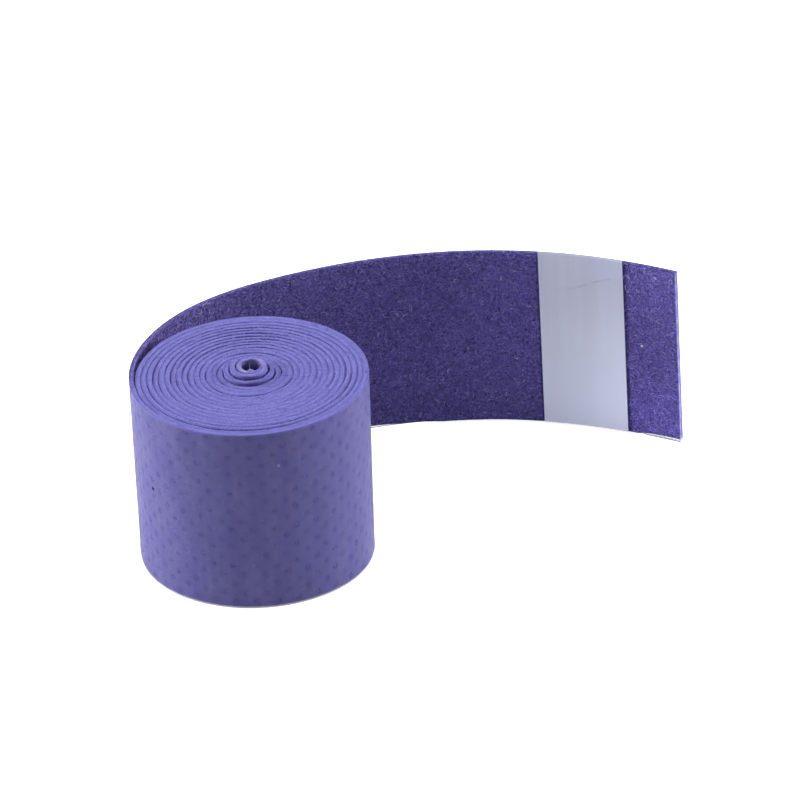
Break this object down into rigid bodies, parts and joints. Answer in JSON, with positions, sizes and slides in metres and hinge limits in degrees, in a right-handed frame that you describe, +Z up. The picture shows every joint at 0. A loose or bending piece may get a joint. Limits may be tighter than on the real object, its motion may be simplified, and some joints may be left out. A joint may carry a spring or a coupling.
{
  "type": "grip tape roll",
  "caption": "Standing roll of purple cushioned racket grip tape, felt-backed, dimpled outside, with its tail swung out and a release liner over the starter adhesive.",
  "frame": {"origin": "centre of the footprint of roll and tail together, in the plane they stand on", "axes": "+Z up along the winding axis, +X from the roll towards the free end of the tail, +Y towards the side the tail swings out on"},
  "size_m": [0.0698, 0.0438, 0.0259],
  "materials": {
    "felt": "matt purple nonwoven felt with paler random fibres",
    "grip_skin": "satin violet polyurethane skin embossed with small round dimples",
    "clear_film": "clear protective film, glossy",
    "adhesive": "translucent tacky double-sided adhesive",
    "release_liner": "pale bluish translucent release film, glossy, faintly creased"
  },
  "bodies": {
    "roll": {"coil_felt": "felt", "coil_grip_skin": "grip_skin", "coil_clear_film": "clear_film"},
    "tail_01": {"tail_felt_01": "felt", "tail_skin_01": "grip_skin", "tail_film_01": "clear_film"},
    "tail_02": {"tail_felt_02": "felt", "tail_skin_02": "grip_skin", "tail_film_02": "clear_film"},
    "tail_03": {"tail_felt_03": "felt", "tail_skin_03": "grip_skin", "tail_film_03": "clear_film"},
    "tail_04": {"tail_felt_04": "felt", "tail_skin_04": "grip_skin", "tail_film_04": "clear_film"},
    "tail_05": {"tail_felt_05": "felt", "tail_skin_05": "grip_skin", "tail_film_05": "clear_film"},
    "tail_06": {"tail_felt_06": "felt", "tail_skin_06": "grip_skin", "tail_film_06": "clear_film"},
    "tail_07": {"tail_felt_07": "felt", "tail_skin_07": "grip_skin", "tail_film_07": "clear_film"},
    "tail_08": {"tail_felt_08": "felt", "tail_skin_08": "grip_skin", "tail_film_08": "clear_film"},
    "tail_09": {"tail_felt_09": "felt", "tail_skin_09": "grip_skin", "tail_film_09": "clear_film", "starter_adhesive": "adhesive"},
    "tail_10": {"tail_felt_10": "felt", "tail_skin_10": "grip_skin", "tail_film_10": "clear_film"},
    "liner_1": {"liner_strip_1": "release_liner"},
    "liner_2": {"liner_strip_2": "release_liner"},
    "liner_3": {"liner_strip_3": "release_liner"},
    "flap_1": {"film_flap_1": "clear_film"},
    "flap_2": {"film_flap_2": "clear_film"}
  },
  "joints": [
    {"name": "near_tail_wind", "type": "hinge", "parent": "roll", "child": "tail_01", "pos_m": [-0.03434, -0.00291, 0.0125], "axis": [0, 0, 1], "range_deg": [-10.2, 15]},
    {"name": "tail_bend_02", "type": "hinge", "parent": "tail_01", "child": "tail_02", "pos_m": [-0.0318, 0.0045, 0.0125], "axis": [0, 0, 1], "range_deg": [-11.1, 16.3]},
    {"name": "tail_bend_03", "type": "hinge", "parent": "tail_02", "child": "tail_03", "pos_m": [-0.02699, 0.01069, 0.0125], "axis": [0, 0, 1], "range_deg": [-11.9, 17.5]},
    {"name": "mid_tail_wind", "type": "hinge", "parent": "tail_03", "child": "tail_04", "pos_m": [-0.02054, 0.01512, 0.0125], "axis": [0, 0, 1], "range_deg": [-17.6, 7]},
    {"name": "tail_bend_05", "type": "hinge", "parent": "tail_04", "child": "tail_05", "pos_m": [-0.01336, 0.01817, 0.0125], "axis": [0, 0, 1], "range_deg": [-21.8, 8.7]},
    {"name": "tail_bend_06", "type": "hinge", "parent": "tail_05", "child": "tail_06", "pos_m": [-0.00586, 0.02028, 0.0125], "axis": [0, 0, 1], "range_deg": [-21.5, 8.6]},
    {"name": "tail_bend_07", "type": "hinge", "parent": "tail_06", "child": "tail_07", "pos_m": [0.00186, 0.02138, 0.0125], "axis": [0, 0, 1], "range_deg": [-19.7, 7.9]},
    {"name": "far_tail_wind", "type": "hinge", "parent": "tail_07", "child": "tail_08", "pos_m": [0.00966, 0.02142, 0.0125], "axis": [0, 0, 1], "range_deg": [-18.6, 6.5]},
    {"name": "tail_bend_09", "type": "hinge", "parent": "tail_08", "child": "tail_09", "pos_m": [0.01738, 0.02029, 0.0125], "axis": [0, 0, 1], "range_deg": [-25.7, 9]},
    {"name": "tail_bend_10", "type": "hinge", "parent": "tail_09", "child": "tail_10", "pos_m": [0.02833, 0.01662, 0.0125], "axis": [0, 0, 1], "range_deg": [-30.3, 10.7]},
    {"name": "liner_peel", "type": "hinge", "parent": "tail_09", "child": "liner_1", "pos_m": [0.01741, 0.01975, 0.0125], "axis": [0, 0, -1], "range_deg": [0, 60]},
    {"name": "liner_curl_2", "type": "hinge", "parent": "liner_1", "child": "liner_2", "pos_m": [0.02101, 0.0188, 0.0125], "axis": [0, 0, -1], "range_deg": [0, 42.5]},
    {"name": "liner_curl_3", "type": "hinge", "parent": "liner_2", "child": "liner_3", "pos_m": [0.02454, 0.01761, 0.0125], "axis": [0, 0, -1], "range_deg": [0, 42.5]},
    {"name": "film_peel", "type": "hinge", "parent": "tail_10", "child": "flap_1", "pos_m": [0.03075, 0.01584, 0.0125], "axis": [0, 0, 1], "range_deg": [0, 60]},
    {"name": "film_curl_2", "type": "hinge", "parent": "flap_1", "child": "flap_2", "pos_m": [0.03286, 0.01474, 0.0125], "axis": [0, 0, 1], "range_deg": [0, 54.5]}
  ],
  "couplings": [
    {"joint": "tail_bend_02", "follows": "near_tail_wind", "ratio": 1.0784},
    {"joint": "tail_bend_03", "follows": "near_tail_wind", "ratio": 1.1569},
    {"joint": "tail_bend_05", "follows": "mid_tail_wind", "ratio": 1.233},
    {"joint": "tail_bend_06", "follows": "mid_tail_wind", "ratio": 1.2159},
    {"joint": "tail_bend_07", "follows": "mid_tail_wind", "ratio": 1.1136},
    {"joint": "tail_bend_09", "follows": "far_tail_wind", "ratio": 1.3763},
    {"joint": "tail_bend_10", "follows": "far_tail_wind", "ratio": 1.6237},
    {"joint": "liner_curl_2", "follows": "liner_peel", "ratio": 0.7},
    {"joint": "liner_curl_3", "follows": "liner_peel", "ratio": 0.7},
    {"joint": "film_curl_2", "follows": "film_peel", "ratio": 0.9}
  ]
}
